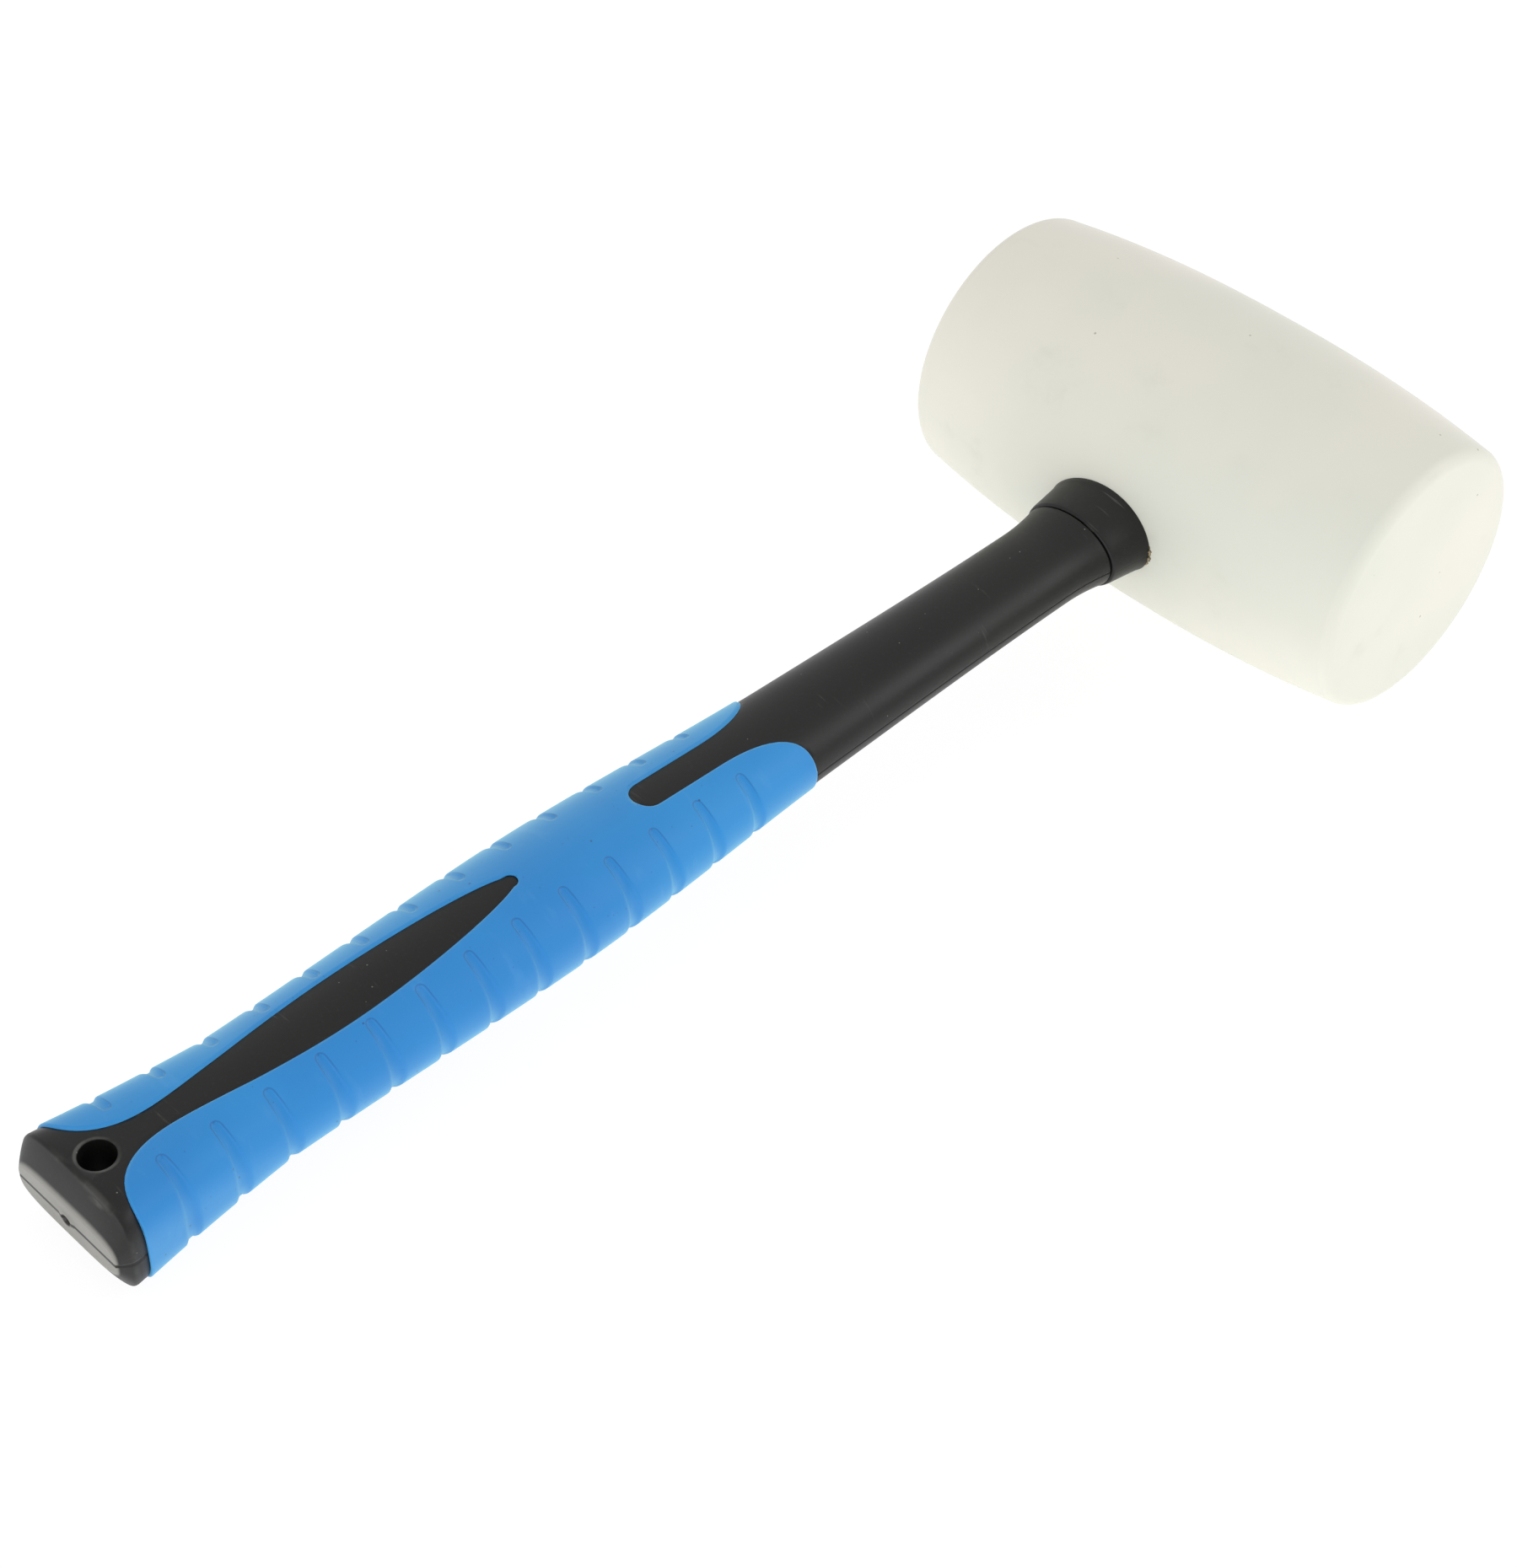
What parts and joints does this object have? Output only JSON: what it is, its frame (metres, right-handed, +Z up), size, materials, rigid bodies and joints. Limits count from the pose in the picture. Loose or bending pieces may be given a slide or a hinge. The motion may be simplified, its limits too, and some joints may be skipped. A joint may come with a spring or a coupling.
{
  "type": "rubber mallet",
  "caption": "Barrel-headed white rubber mallet with a glued-in fibreglass-core handle, black plastic jacket, blue soft grip with finger grooves and a hanging hole.",
  "frame": {"origin": "middle of the underside's bounding box, on the table that the mallet lies on", "axes": "+X along the head from striking face to striking face, +Y along the lying handle from butt to head, +Z up"},
  "size_m": [0.12, 0.3456, 0.0709],
  "materials": {
    "white_rubber": "matt moulded rubber, off-white",
    "black_plastic": "satin moulded plastic, black",
    "blue_soft_rubber": "satin soft overmoulded rubber, blue",
    "fibreglass": "cut end of a pultruded rod, pale straw",
    "cured_adhesive": "cured adhesive, amber"
  },
  "bodies": {
    "root": {"head": "white_rubber", "eye_bond": "cured_adhesive", "core_rod": "fibreglass", "neck_collar": "black_plastic", "handle_jacket": "black_plastic", "grip_sleeve": "blue_soft_rubber"}
  },
  "joints": []
}
